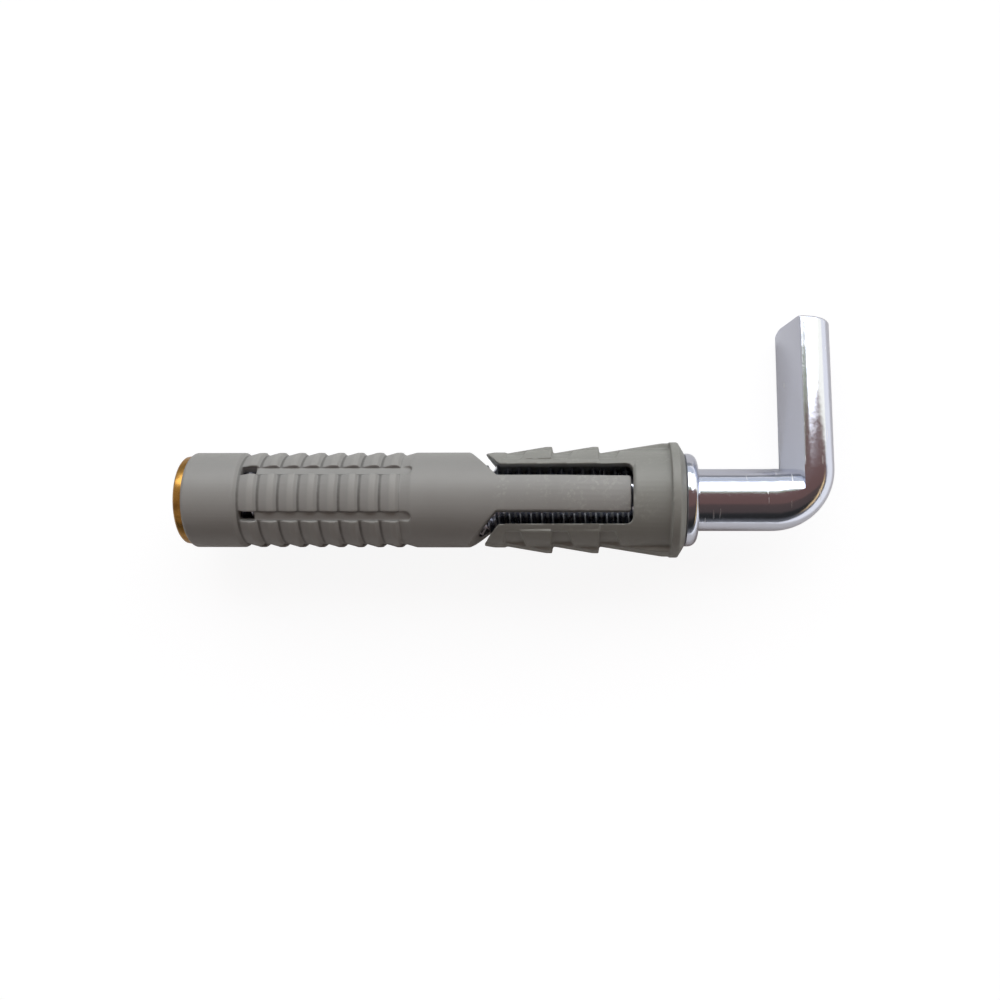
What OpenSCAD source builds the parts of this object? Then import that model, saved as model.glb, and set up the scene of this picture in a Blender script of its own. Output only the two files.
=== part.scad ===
// Two-part expansion plug for a 14 mm hole, with a brass cone nut and a threaded hook.
// Turning the hook draws the nut and the lower sleeve towards the wall, between the arms
// of the upper sleeve, and both sleeves spread in the hole.
// The plug lies on a flat surface, as it comes to rest. X runs along its axis into the room,
// X = 0 is the face of the wall that the flange stops at, and Z is up. Millimetres.

/* [Thread] */
// Outside diameter of the hook's thread
thread_d = 10; // [8:0.5:12]
// Distance the nut moves in one turn of the hook
thread_pitch = 1.5; // [1:0.25:1.75]
// Radial gap between the hook and the bore of the nut
thread_play = 0.05; // [0.02:0.01:0.1]
// Length of plain shank inside the sleeve, between the thread and the flange's face
plain_l = 2.1; // [1:0.1:6]
// Depth of the hook's end below the nut's outer face
end_recess = 1; // [0.2:0.1:2]

/* [Sleeves] */
// Radial gap between the thread and the bore of both sleeves
sleeve_play = 0.2; // [0.1:0.05:0.5]
// Wall of both sleeves
sleeve_wall = 1.6; // [1.3:0.1:2.2]

/* [Lower sleeve] */
// Length of the plain band at the insertion end
band_l = 7.4; // [6:0.2:10]
// Radius on the outer edge of the insertion end
rim_round = 0.4; // [0.2:0.1:0.6]
// Number of ribs round the sleeve
rib_count = 8; // [4:1:12]
// Distance from one rib to the next
rib_pitch = 2.83; // [2.3:0.01:3.5]
// Depth of the grooves between the ribs
rib_depth = 0.45; // [0.3:0.05:0.6]
// Length of the flat top of a rib
rib_crest = 0.7; // [0.4:0.1:1]
// Length of the steep face of a rib
rib_face = 0.5; // [0.2:0.1:0.8]
// Number of lengthwise channels through the ribs
channel_count = 6; // [4:2:8]
// Width of a channel
channel_w = 1.4; // [1.2:0.05:2]
// Depth of a channel
channel_depth = 0.55; // [0.3:0.05:0.8]
// Distance from the plain band to the start of a channel
channel_start = 0.75; // [0.6:0.05:1]
// Length of the slot through the wall at the start of a channel
vent_l = 2.1; // [1.5:0.1:3.5]
// Length of the smooth stretch between the ribs and the ramps
smooth_l = 7.5; // [5:0.5:12]
// Angle between the ramps and the axis
ramp_angle = 45; // [35:1:55]
// Width of a tongue
tongue_w = 5; // [4:0.1:6]
// Length over which a tongue gets thinner towards its tip
tongue_taper_l = 10; // [6:1:16]
// How much thinner a tongue is at its tip
tongue_taper = 0.65; // [0.4:0.05:0.8]
// Radius on the tip's corners
tongue_round = 0.4; // [0.2:0.1:1]

/* [Upper sleeve] */
// Gap between the ramps and the tips of the arms before the hook is tightened
start_gap = 2; // [1.5:0.1:3]
// Length of the arms, from their tips to the ring
arm_l = 21.1; // [17:0.1:26]
// Gap between a tongue and the arms at its sides
slot_w = 1.7; // [1:0.1:2]
// Radius in the corners of the windows
window_round = 1; // [0.5:0.1:1.5]
// Width of the bevel round the windows
window_bevel = 0.45; // [0.3:0.05:0.6]
// Gap between the tip of a tongue and the ring
tongue_gap = 0.25; // [0.15:0.05:1]
// Distance from the arm's tip to the first barb's edge
first_barb = 3.2; // [2.5:0.1:4]
// Distance from one barb to the next
barb_pitch = 6.6; // [5.2:0.05:7.9]
// Number of barbs on each arm
barb_count = 3; // [2:1:3]
// Height of a barb's ridge above the body
barb_h = 0.8; // [0.5:0.05:1]
// Height of a barb beside its ridge
shoulder_h = 0.42; // [0.3:0.02:0.6]
// Depth of the ridge below the body just behind a barb
barb_root = 0.15; // [0.1:0.05:0.4]
// Width of the ridge along the arm
ridge_w = 3.4; // [2.4:0.1:4]
// Width of the ridge where it meets the flange
ridge_foot_w = 4.6; // [3:0.1:6]
// Length of the pocket behind a barb, at its short side
pocket_l = 2.3; // [1.5:0.1:3]
// Depth of a pocket below the body
pocket_depth = 0.28; // [0.1:0.02:0.4]
// Length of the ring between the windows and the flange
ring_l = 5.3; // [4:0.1:8]

/* [Flange] */
// Width of the lip that stops at the wall
flange_lip = 1.4; // [1:0.1:2.5]
// Thickness of the flange at its edge
flange_t = 1.1; // [0.8:0.1:2]
// Height of the bevel on the flange's outer side
flange_bevel_h = 0.9; // [0.5:0.1:1.5]
// Width of the bevel on the flange's outer side
flange_bevel_w = 1.5; // [1:0.1:2]

/* [Nut] */
// Height of the nut's head outside the lower sleeve
nut_head_h = 1.2; // [0.8:0.1:2.5]
// Length of the nut's cone inside the lower sleeve
nut_cone_l = 7.5; // [5:0.1:7.5]
// Wall of the nut outside its thread, at the narrow end of the cone
nut_wall = 0.4; // [0.3:0.05:0.6]
// Wall of the sleeve round the wide end of the cone
seat_wall = 0.8; // [0.6:0.05:1.2]
// Gap between the cone and its seat in the sleeve
seat_play = 0.03; // [0.01:0.01:0.1]

/* [Hook] */
// Diameter of the collar that presses on the flange
collar_d = 13.2; // [11:0.1:16]
// Thickness of the collar
collar_t = 1.8; // [1.6:0.05:3]
// Radius on the collar's outer edge
collar_round = 1.3; // [0.5:0.1:1.5]
// Gap between the collar and the flange
collar_gap = 0.05; // [0.02:0.01:0.3]
// Distance from the collar to the middle of the arm
hook_gap = 15.2; // [12.5:0.1:25]
// Radius inside the bend
bend_inner_r = 0.15; // [0.1:0.05:3]
// Reach of the arm from the plug's axis
arm_reach = 25.9; // [20:0.1:40]
// Thickness of the arm across its pressed flat
flat_t = 6.1; // [5:0.05:8]
// Angle of the pressed flat about the arm
flat_turn = 15; // [-30:1:30]
// Radius on the lower edge of the tip
tip_round = 3; // [1:0.1:4]

/* [Hidden] */
$fn = 96;

// Overshoot of cuts, and a size that reaches past the whole plug
over = 1;
clear = 40;

// Radii: the thread is rolled on a plain rod, which stands between its root and its crest
thread_r = thread_d / 2;
shank_r = thread_r - 0.4 * thread_pitch;
bend_r = shank_r + bend_inner_r;
nut_bore_r = thread_r - 0.54127 * thread_pitch;
core_r = nut_bore_r - thread_play;
bore_r = thread_r + sleeve_play;
plug_r = bore_r + sleeve_wall;
rib_root_r = plug_r - rib_depth;
channel_floor_r = plug_r - channel_depth;
seat_r = plug_r - seat_wall;
flange_r = plug_r + flange_lip;
collar_r = collar_d / 2;

// Places along the axis, measured from the insertion end of the lower sleeve
channel_x = band_l + channel_start;
last_rib_x = band_l + rib_count * rib_pitch;
ribs_end_x = last_rib_x + rib_pitch - rib_crest;
channel_end_x = ribs_end_x;
ramp_x = ribs_end_x + smooth_l;
tips_x = ramp_x + start_gap;
window_end_x = tips_x + arm_l;
tongue_end_x = window_end_x - tongue_gap;
seat_x = window_end_x + ring_l;
flange_x = seat_x + flange_t;
bevel_x = flange_x + flange_bevel_h;
collar_x = bevel_x + collar_gap;
collar_end_x = collar_x + collar_t;
arm_x = collar_end_x + hook_gap;
rod_x = end_recess - nut_head_h;
thread_end_x = seat_x - plain_l;

// Windows and ridges of the upper sleeve
ramp_run = 1 / tan(ramp_angle);
window_half = tongue_w / 2 + slot_w;
bevel_half = window_half + window_bevel;
strip_w = 0.45;
strip_half = bevel_half + strip_w;
pocket_slant = 0.45;
bevel_slope = 0.27;
tongue_tip_r = plug_r - tongue_taper;
relief_r = tongue_tip_r + 0.2;
relief_play = 0.15;
ring_r = plug_r + 0.5;
step_run = 0.15;
crest_run = 0.8;
foot_run = 1;
foot_h = 0.9 * flange_lip;

// How the ridges and the body beside them start at the tips of the arms
lead_run = 1.6;
ridge_lead = 0.25;
shoulder_lead = 0.45;
shoulder_rise = 0.1;

// Head of the nut, and the skin that the press leaves over the shank
head_inset = 0.5;
press_skin = 0.03;

// The arm of the hook dips until its rounded tip touches the surface that the flange lies on
contact_y = arm_reach - tip_round;
contact_z = shank_r - tip_round;
rest_roll = asin((flange_r - tip_round) / norm([contact_y, contact_z])) - atan(contact_z / contact_y);

// Turns a shape drawn round Z so that its axis runs along X
module along_x() {
    rotate([90, 0, 90]) children();
}

// Solid of revolution about X from an outline of [radius, x] points
module turned(outline) {
    along_x() rotate_extrude() polygon(outline);
}

// Round rod along X between two places
module rod(r, x_from, x_to) {
    translate([x_from, 0, 0]) along_x() cylinder(r = r, h = x_to - x_from);
}

// Repeats a shape on the other side of the plane Y = 0, and of the plane Z = 0
module both_sides() {
    children();
    mirror([0, 1, 0]) children();
}

module front_and_back() {
    children();
    mirror([0, 0, 1]) children();
}

// Puts the finished plug on its resting side, with the wall's face at X = 0
module laid_down() {
    rotate([-rest_roll, 0, 0]) translate([-seat_x, 0, 0]) children();
}

// Lower sleeve

function rib_outline() = [
    for (i = [0 : rib_count]) let (x = band_l + i * rib_pitch) each [
        [plug_r, x],
        [rib_root_r, x + rib_face],
        [plug_r, x + rib_pitch - rib_crest]
    ]
];

module sleeve_blank() {
    turned(concat(
        [[0, 0], [plug_r - rim_round, 0], [plug_r, rim_round]],
        rib_outline(),
        [
            [plug_r, tongue_end_x - tongue_taper_l],
            [tongue_tip_r, tongue_end_x],
            [0, tongue_end_x]
        ]
    ));
}

// Lengthwise channel with a slot through the wall at its start, on top of the sleeve
module channel() {
    half = channel_w / 2;
    translate([channel_x, -half, channel_floor_r])
        cube([channel_end_x - half - channel_x, channel_w, clear]);
    translate([channel_end_x - half, 0, channel_floor_r]) cylinder(d = channel_w, h = clear);
    translate([channel_x, -half, 0]) cube([vent_l, channel_w, clear]);
}

// What is cut away beside the tongues: a wedge in front of the ramp on one side
module ramp_wedge() {
    half = tongue_w / 2;
    wide = plug_r + over;
    linear_extrude(height = clear, center = true) polygon([
        [ramp_x - over * ramp_run, wide],
        [ramp_x + (plug_r - half) * ramp_run, half],
        [tongue_end_x + over, half],
        [tongue_end_x + over, wide]
    ]);
}

// Rounds one corner of a tongue's tip
module tongue_corner() {
    half = tongue_w / 2;
    centre_x = tongue_end_x - tongue_round;
    centre_y = half - tongue_round;
    difference() {
        translate([centre_x, centre_y, -clear / 2]) cube([over, over, clear]);
        translate([centre_x, centre_y, -clear / 2]) cylinder(r = tongue_round, h = clear);
    }
}

module lower_sleeve() {
    color([0.52, 0.53, 0.55]) laid_down() difference() {
        sleeve_blank();
        rod(bore_r, -over, tongue_end_x + over);
        turned(seat_outline(seat_play));
        for (i = [0 : channel_count - 1])
            rotate([(i + 0.5) * 360 / channel_count, 0, 0]) channel();
        both_sides() ramp_wedge();
        both_sides() tongue_corner();
    }
}

// Cone nut

// The cone that nut and sleeve share, wider by a gap all round
function seat_outline(gap) = [
    [0, -over],
    [seat_r + gap, -over],
    [seat_r + gap, 0],
    [thread_r + nut_wall + gap, nut_cone_l + gap],
    [0, nut_cone_l + gap]
];

module cone_nut() {
    edge = nut_head_h / 4;
    head_r = plug_r - head_inset;
    color([0.80, 0.63, 0.33]) laid_down() difference() {
        union() {
            turned([
                [0, -nut_head_h],
                [head_r - edge, -nut_head_h],
                [head_r, edge - nut_head_h],
                [head_r, 0],
                [0, 0]
            ]);
            intersection() {
                turned(seat_outline(0));
                rod(plug_r, -nut_head_h / 2, nut_cone_l);
            }
        }
        rod(nut_bore_r, -nut_head_h - over, nut_cone_l + over);
    }
}

// Upper sleeve

function barb_x(i) = tips_x + first_barb + i * barb_pitch;

// Ridge along the middle of an arm: a plain first edge, barbs, and a ramp up to the flange
function ridge_outline() = [
    for (i = [1 : barb_count - 1]) let (x = barb_x(i)) each [
        [plug_r - barb_root, barb_x(i - 1) + step_run],
        [plug_r + barb_h, x - crest_run],
        [plug_r + barb_h, x]
    ]
];

module ridges() {
    last_x = barb_x(barb_count - 1);
    foot_x = (last_x + seat_x) / 2;
    intersection() {
        turned(concat(
            [
                [0, tips_x],
                [plug_r - ridge_lead, tips_x],
                [plug_r, tips_x + lead_run],
                [plug_r, barb_x(0)]
            ],
            ridge_outline(),
            [
                [plug_r - barb_root, last_x + step_run],
                [plug_r + foot_h / 2, foot_x],
                [plug_r + foot_h, seat_x - foot_run],
                [plug_r + foot_h, seat_x],
                [0, seat_x]
            ]
        ));
        ridge_plan();
    }
}

// Outline of the ridges seen from the side of an arm, wider towards the flange
module ridge_plan() {
    half = ridge_w / 2;
    foot = ridge_foot_w / 2;
    widen_x = barb_x(barb_count - 1) + 2;
    rotate([90, 0, 0]) linear_extrude(height = clear, center = true) polygon([
        [tips_x - clear, -half],
        [widen_x, -half],
        [seat_x, -foot],
        [seat_x, foot],
        [widen_x, half],
        [tips_x - clear, half]
    ]);
}

// Body beside the ridges: thin at the tips, stepped at each barb, wide at the flange
function shoulder_outline() = [
    for (i = [1 : barb_count - 1]) let (x = barb_x(i)) each [
        [plug_r + shoulder_h, x],
        [plug_r + shoulder_rise, x + step_run]
    ]
];

module shoulders() {
    difference() {
        turned(concat(
            [
                [0, tips_x],
                [plug_r - shoulder_lead, tips_x],
                [plug_r - shoulder_rise, tips_x + lead_run],
                [plug_r, barb_x(0)],
                [plug_r + shoulder_rise, barb_x(0) + step_run]
            ],
            shoulder_outline(),
            [[ring_r, seat_x], [0, seat_x]]
        ));
        ridge_plan();
        plain_edge();
    }
}

// What stands above the plain strip that runs along each window
module plain_edge() {
    difference() {
        translate([tips_x - over, -strip_half, -clear / 2])
            cube([seat_x - tips_x, 2 * strip_half, clear]);
        turned([
            [0, tips_x - 2 * over],
            [plug_r, tips_x - 2 * over],
            [plug_r, barb_x(0)],
            [ring_r, seat_x],
            [0, seat_x]
        ]);
    }
}

module flange() {
    turned([
        [0, seat_x],
        [flange_r, seat_x],
        [flange_r, flange_x],
        [flange_r - flange_bevel_w, bevel_x],
        [0, bevel_x]
    ]);
}

// Pocket behind barb number i, on both sides of the ridge of one arm
module pocket(i) {
    x = barb_x(i);
    slant = pocket_slant * (flange_r - strip_half);
    difference() {
        linear_extrude(height = clear, center = true) polygon([
            [x, strip_half],
            [x + pocket_l, strip_half],
            [x + pocket_l + slant, flange_r],
            [x, flange_r]
        ]);
        rod(plug_r - pocket_depth, x - over, x + 2 * pocket_l + over);
        ridge_plan();
    }
}

// Window between the arms, through the whole sleeve
module window() {
    square_x = window_end_x - window_round;
    round_y = window_half - window_round;
    translate([0, 0, -clear / 2]) {
        translate([0, -window_half, 0]) cube([square_x, 2 * window_half, clear]);
        translate([0, -round_y, 0]) cube([window_end_x, 2 * round_y, clear]);
        both_sides() translate([square_x, round_y, 0]) cylinder(r = window_round, h = clear);
    }
}

// Bevel round a window on one side of the plug: a sloping plane along the arm, which rises
// with the body, and a cone across the ring
module window_edge() {
    edge_z = sqrt(pow(plug_r, 2) - pow(bevel_half, 2));
    body_taper = (ring_r - plug_r) / (seat_x - barb_x(0));
    rise = atan(body_taper * plug_r / edge_z);
    ring_edge_r = plug_r + body_taper * (window_end_x - barb_x(0)) - window_bevel;
    intersection() {
        translate([barb_x(0), 0, 0]) rotate([0, -rise, 0]) along_x()
            linear_extrude(height = 2 * clear, center = true) polygon([
                [-over, edge_z + bevel_slope * (bevel_half + over)],
                [clear, edge_z - bevel_slope * (clear - bevel_half)],
                [clear, clear],
                [-over, clear]
            ]);
        turned([
            [bore_r, tips_x - over],
            [bore_r, window_end_x - (ring_edge_r - bore_r)],
            [ring_edge_r + flange_r, window_end_x + flange_r],
            [ring_edge_r + flange_r, tips_x - over]
        ]);
    }
}

// Slanted tips of the arms, parallel to the ramps of the lower sleeve
module tip_wedge() {
    wide = plug_r + over;
    linear_extrude(height = clear, center = true) polygon([
        [0, 0],
        [tips_x + plug_r * ramp_run, 0],
        [tips_x - over * ramp_run, wide],
        [0, wide]
    ]);
}

// Room under the ring for the tongues, which slide in as the hook is tightened
module tongue_relief() {
    half = tongue_w / 2 + relief_play;
    intersection() {
        rod(relief_r, window_end_x - over, window_end_x + start_gap);
        translate([0, -half, -clear / 2]) cube([seat_x, 2 * half, clear]);
    }
}

module upper_sleeve() {
    color([0.58, 0.585, 0.57]) laid_down() difference() {
        union() {
            shoulders();
            ridges();
            flange();
        }
        rod(bore_r, tips_x - over, bevel_x + over);
        window();
        both_sides() front_and_back() window_edge();
        both_sides() tip_wedge();
        for (i = [0 : barb_count - 1]) both_sides() pocket(i);
        tongue_relief();
    }
}

// Hook

// Threaded end, shank and collar
module hook_rod() {
    lead = thread_pitch / 2;
    turned([
        [0, rod_x],
        [core_r - lead / 2, rod_x],
        [core_r, rod_x + lead],
        [core_r, thread_end_x],
        [shank_r, thread_end_x + lead],
        [shank_r, arm_x - bend_r],
        [0, arm_x - bend_r]
    ]);
}

module collar() {
    flat_r = collar_r - collar_round;
    round_x = collar_end_x - collar_round;
    along_x() rotate_extrude() union() {
        translate([0, collar_x]) square([collar_r, round_x - collar_x]);
        translate([0, collar_x]) square([flat_r, collar_t]);
        intersection() {
            translate([flat_r, round_x]) circle(r = collar_round);
            translate([0, collar_x]) square([clear, collar_t]);
        }
    }
}

module bend() {
    translate([arm_x - bend_r, bend_r, 0]) rotate([0, 0, -90])
        rotate_extrude(angle = 90) translate([bend_r, 0]) circle(r = shank_r);
}

// Straight arm, and what the press and the shears take off it
module arm() {
    translate([arm_x, bend_r, 0]) rotate([-90, 0, 0]) cylinder(r = shank_r, h = arm_reach - bend_r);
}

// Frame of the arm, with its pressed flat facing -X
module arm_frame() {
    translate([arm_x, 0, 0]) rotate([0, flat_turn, 0]) children();
}

// Flat along the inner side, pressed down to a skin over the shank
module arm_flat() {
    flat_d = flat_t - shank_r;
    difference() {
        arm_frame() translate([-flat_d - 2 * shank_r, 0, -clear / 2])
            cube([2 * shank_r, arm_reach + over, clear]);
        rod(shank_r + press_skin, arm_x - clear, arm_x + shank_r);
    }
}

// Rounding of the lower edge of the tip
module tip_rounding() {
    translate([arm_x, arm_reach - tip_round, tip_round - shank_r]) rotate([0, 90, 0]) difference() {
        translate([0, 0, -clear / 2]) cube([clear, clear, clear]);
        translate([0, 0, -clear]) cylinder(r = tip_round, h = 2 * clear);
    }
}

module hook() {
    color([0.76, 0.78, 0.81]) laid_down() difference() {
        union() {
            hook_rod();
            collar();
            bend();
            arm();
        }
        arm_flat();
        tip_rounding();
    }
}

hook();
cone_nut();
lower_sleeve();
upper_sleeve();
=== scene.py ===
"""Two-part wall plug with a brass cone nut and a bright zinc hook, as it lies on a studio floor.

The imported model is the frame. The sleeves keep its shapes and get the soft edges of a moulding.
The hook, its rolled thread and the tapped nut are modelled here at the frame's sizes.
Sizes are in millimetres, and MM turns them into Blender's metres.
"""

import logging
import math
from collections.abc import Callable, Iterator, Sequence
from contextlib import contextmanager
from dataclasses import dataclass
from enum import Enum

import bmesh
import bpy
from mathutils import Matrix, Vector


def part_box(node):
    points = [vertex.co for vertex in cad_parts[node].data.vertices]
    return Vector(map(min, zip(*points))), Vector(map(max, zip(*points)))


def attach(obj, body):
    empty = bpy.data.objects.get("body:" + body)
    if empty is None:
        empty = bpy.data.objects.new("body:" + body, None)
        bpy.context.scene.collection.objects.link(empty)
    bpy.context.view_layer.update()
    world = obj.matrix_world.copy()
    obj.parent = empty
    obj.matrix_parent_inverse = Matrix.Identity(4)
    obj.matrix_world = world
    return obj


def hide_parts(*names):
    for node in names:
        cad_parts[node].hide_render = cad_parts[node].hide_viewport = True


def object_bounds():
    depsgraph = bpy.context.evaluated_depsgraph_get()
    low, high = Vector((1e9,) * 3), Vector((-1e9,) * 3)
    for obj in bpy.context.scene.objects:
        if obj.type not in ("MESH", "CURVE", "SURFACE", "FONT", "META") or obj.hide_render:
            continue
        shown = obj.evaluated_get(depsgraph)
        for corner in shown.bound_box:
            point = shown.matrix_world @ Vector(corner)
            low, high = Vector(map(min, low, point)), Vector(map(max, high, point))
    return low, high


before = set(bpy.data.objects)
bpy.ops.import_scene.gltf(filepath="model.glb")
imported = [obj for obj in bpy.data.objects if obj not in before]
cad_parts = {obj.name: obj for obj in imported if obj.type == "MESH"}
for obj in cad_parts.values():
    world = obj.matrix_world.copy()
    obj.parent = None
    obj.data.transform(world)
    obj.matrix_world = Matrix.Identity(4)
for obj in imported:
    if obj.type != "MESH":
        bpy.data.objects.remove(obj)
CAD_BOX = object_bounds()

LOG = logging.getLogger("wall_plug")
MM = 0.001
# Points within a micron of each other are one point, and a hair is the play in finding a place
MICRON = 0.001 * MM
HAIR = 0.01 * MM
# A place off every axis and plane of the plug, so that no two of its points are equally far from it
LOOKOUT = (0.1, -0.23, 0.37)

Piece = bpy.types.Object
Node = bpy.types.Node
Socket = bpy.types.NodeSocket
Tree = bpy.types.NodeTree
Outline = Sequence[tuple[float, float]]


class Body(Enum):
    """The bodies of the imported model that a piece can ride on."""

    UPPER = "upper"
    LOWER = "lower"
    HOOK = "hook"


class Slot(Enum):
    """The material slots of the record."""

    ZINC = "zinc_plated_steel"
    BRASS = "brass"
    LOWER_NYLON = "lower_nylon"
    UPPER_NYLON = "upper_nylon"


# Tools of the bench


def deselect_all() -> None:
    """Leaves nothing selected, so that the next operator acts on its own piece only."""
    bpy.ops.object.select_all(action="DESELECT")


def pick(piece: Piece) -> None:
    """Makes a piece the one that operators act on.

    Args:
        piece: The piece, which becomes the only one selected.
    """
    deselect_all()
    piece.select_set(True)
    bpy.context.view_layer.objects.active = piece


@contextmanager
def editing(piece: Piece, mode: str = "FACE", everything: bool = False) -> Iterator[None]:
    """Opens a piece in edit mode for the length of a with block.

    Args:
        piece: The piece to open.
        mode: What is selected by hand: VERT, EDGE or FACE.
        everything: Whether the block starts with all of the mesh selected.
    """
    pick(piece)
    bpy.ops.object.mode_set(mode="EDIT")
    bpy.ops.mesh.select_mode(type=mode)
    bpy.ops.mesh.select_all(action="SELECT" if everything else "DESELECT")
    yield
    bpy.ops.object.mode_set(mode="OBJECT")


def select_edges(piece: Piece, wanted: Callable[[bmesh.types.BMEdge], bool]) -> int:
    """Selects the edges that a test picks, in edit mode.

    Args:
        piece: The piece that is open in edit mode.
        wanted: The test, given one edge.

    Returns:
        How many edges are selected.
    """
    mesh = bmesh.from_edit_mesh(piece.data)
    found = [edge for edge in mesh.edges if wanted(edge)]
    for edge in found:
        edge.select_set(True)
    bmesh.update_edit_mesh(piece.data)
    return len(found)


def select_vertices(piece: Piece, wanted: Callable[[Vector], bool]) -> None:
    """Selects the vertices whose place passes a test, and nothing else, in edit mode.

    Args:
        piece: The piece that is open in edit mode.
        wanted: The test, given a place in metres.
    """
    bpy.ops.mesh.select_all(action="DESELECT")
    mesh = bmesh.from_edit_mesh(piece.data)
    for vertex in mesh.verts:
        if wanted(vertex.co):
            vertex.select_set(True)
    mesh.select_flush_mode()
    bmesh.update_edit_mesh(piece.data)


def select_faces(piece: Piece, wanted: Callable[[bmesh.types.BMFace], bool]) -> None:
    """Selects the faces that a test picks, and nothing else, in edit mode.

    Args:
        piece: The piece that is open in edit mode.
        wanted: The test, given one face.
    """
    bpy.ops.mesh.select_all(action="DESELECT")
    mesh = bmesh.from_edit_mesh(piece.data)
    for face in mesh.faces:
        if wanted(face):
            face.select_set(True)
    bmesh.update_edit_mesh(piece.data)


def place_in_mesh(piece: Piece) -> Piece:
    """Moves a piece's place, turn and scale into its mesh.

    Args:
        piece: The piece, of which only the object was placed.

    Returns:
        The same piece, with its object at the origin.
    """
    pick(piece)
    bpy.ops.object.transform_apply(location=True, rotation=True, scale=True)
    return piece


def add_modifier(piece: Piece, kind: str, **settings: object) -> None:
    """Adds a modifier to a piece and applies it.

    Args:
        piece: The piece to change.
        kind: Blender's name for the modifier.
        settings: The modifier's settings by name.
    """
    modifier = piece.modifiers.new(kind.title(), kind)
    for name, value in settings.items():
        setattr(modifier, name, value)
    pick(piece)
    bpy.ops.object.modifier_apply(modifier=modifier.name)


def cut(piece: Piece, tool: Piece, operation: str = "DIFFERENCE") -> None:
    """Cuts a piece with another mesh, and puts the tool away.

    The solver gives its points in another order at each run, and later steps can depend on the
    order, so they are sorted by their distance from one place.

    Args:
        piece: The piece to cut.
        tool: The closed mesh that cuts it, which is removed.
        operation: What is done with the two meshes.
    """
    add_modifier(piece, "BOOLEAN", operation=operation, solver="EXACT", object=tool)
    bpy.data.objects.remove(tool)
    bpy.context.scene.cursor.location = LOOKOUT
    with editing(piece, "VERT", everything=True):
        bpy.ops.mesh.sort_elements(type="CURSOR_DISTANCE", elements={"VERT", "EDGE", "FACE"})


def smooth(piece: Piece, angle_deg: float) -> None:
    """Shades a piece smoothly, but keeps edges sharper than an angle."""
    pick(piece)
    bpy.ops.object.shade_smooth_by_angle(angle=math.radians(angle_deg))


def turned(name: str, outline: Outline, facets: int) -> Piece:
    """Turns a closed solid about the X axis, ring by ring, as on a lathe.

    Args:
        name: The piece's name.
        outline: The rings as (x, radius), in millimetres, from one end to the other.
        facets: The number of facets round the axis.

    Returns:
        The solid, with its last face selected.
    """
    deselect_all()
    first_x, first_r = outline[0]
    bpy.ops.mesh.primitive_circle_add(
        vertices=facets,
        radius=first_r * MM,
        fill_type="NGON",
        location=(first_x * MM, 0, 0),
        rotation=(0, math.pi / 2, 0),
    )
    piece = place_in_mesh(bpy.context.object)
    piece.name = name
    with editing(piece, everything=True):
        for (x, r), (next_x, next_r) in zip(outline, outline[1:]):
            step = (next_x - x) * MM
            bpy.ops.mesh.extrude_region_move(TRANSFORM_OT_translate={"value": (step, 0, 0)})
            share = next_r / r
            bpy.ops.transform.resize(value=(1, share, share), center_override=(0, 0, 0))
    return piece


def arc(centre: tuple[float, float], radius: float, start_deg: float, end_deg: float) -> Outline:
    """Works out a round stretch of an outline.

    Args:
        centre: The arc's centre as (x, radius from the axis), in millimetres.
        radius: The arc's radius in millimetres.
        start_deg: Where the arc starts, in degrees from the X axis.
        end_deg: Where the arc ends, in degrees from the X axis.

    Returns:
        The outline's points along the arc, both ends included.
    """
    steps = 8
    angles = [math.radians(start_deg + (end_deg - start_deg) * i / steps) for i in range(steps + 1)]
    return [(centre[0] + radius * math.cos(a), centre[1] + radius * math.sin(a)) for a in angles]


# Finishes


def linear(hex_colour: str) -> tuple[float, float, float, float]:
    """Turns an sRGB hex colour into the linear colour that a shader takes.

    Args:
        hex_colour: The colour as #rrggbb.

    Returns:
        Linear red, green, blue and an alpha of 1.
    """
    shares = [int(hex_colour[i : i + 2], 16) / 255 for i in (1, 3, 5)]
    red, green, blue = (s / 12.92 if s <= 0.04045 else ((s + 0.055) / 1.055) ** 2.4 for s in shares)
    return red, green, blue, 1.0


def add_node(
    tree: Tree,
    kind: str,
    settings: dict[str, object] | None = None,
    inputs: Sequence[object] | dict[int | str, object] = (),
) -> Node:
    """Adds a node to a tree, with its settings and what goes into it.

    Args:
        tree: The node tree.
        kind: Blender's type of the node, without its ShaderNode prefix.
        settings: The node's own settings by name.
        inputs: What goes into the node, in order, or by number or name: a value, an output
            socket to link, or a node that stands for its first output.

    Returns:
        The new node.
    """
    node = tree.nodes.new("ShaderNode" + kind)
    for name, value in (settings or {}).items():
        setattr(node, name, value)
    for key, value in inputs.items() if isinstance(inputs, dict) else enumerate(inputs):
        source = value.outputs[0] if isinstance(value, Node) else value
        if isinstance(source, Socket):
            tree.links.new(source, node.inputs[key])
        else:
            node.inputs[key].default_value = source
    return node


def soft_mask(tree: Tree, *edges: tuple[Node | Socket | float, ...]) -> Node:
    """Adds a mask that fades in softly at each of its edges.

    Args:
        tree: The node tree.
        edges: The edges, each as the value that is tested, what it is where the mask starts with
            0, what it is where the mask is whole, and what the whole is, if it isn't 1.

    Returns:
        The mask, which is the product of its edges.
    """
    steps = [
        add_node(tree, "MapRange", {"interpolation_type": "SMOOTHSTEP"}, (value, low, high, 0, *top))
        for value, low, high, *top in edges
    ]
    mask = steps[0]
    for step in steps[1:]:
        mask = add_node(tree, "Math", {"operation": "MULTIPLY"}, (mask, step))
    return mask


def distance(tree: Tree, first: Node | Socket, second: Node | Socket) -> Node:
    """Adds the length of the long side of a right-angled triangle.

    Args:
        tree: The node tree.
        first: One short side.
        second: The other short side.

    Returns:
        The node with the length.
    """
    square = add_node(tree, "Math", {"operation": "MULTIPLY"}, (second, second))
    both = add_node(tree, "Math", {"operation": "MULTIPLY_ADD"}, (first, first, square))
    return add_node(tree, "Math", {"operation": "SQRT"}, [both])


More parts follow.
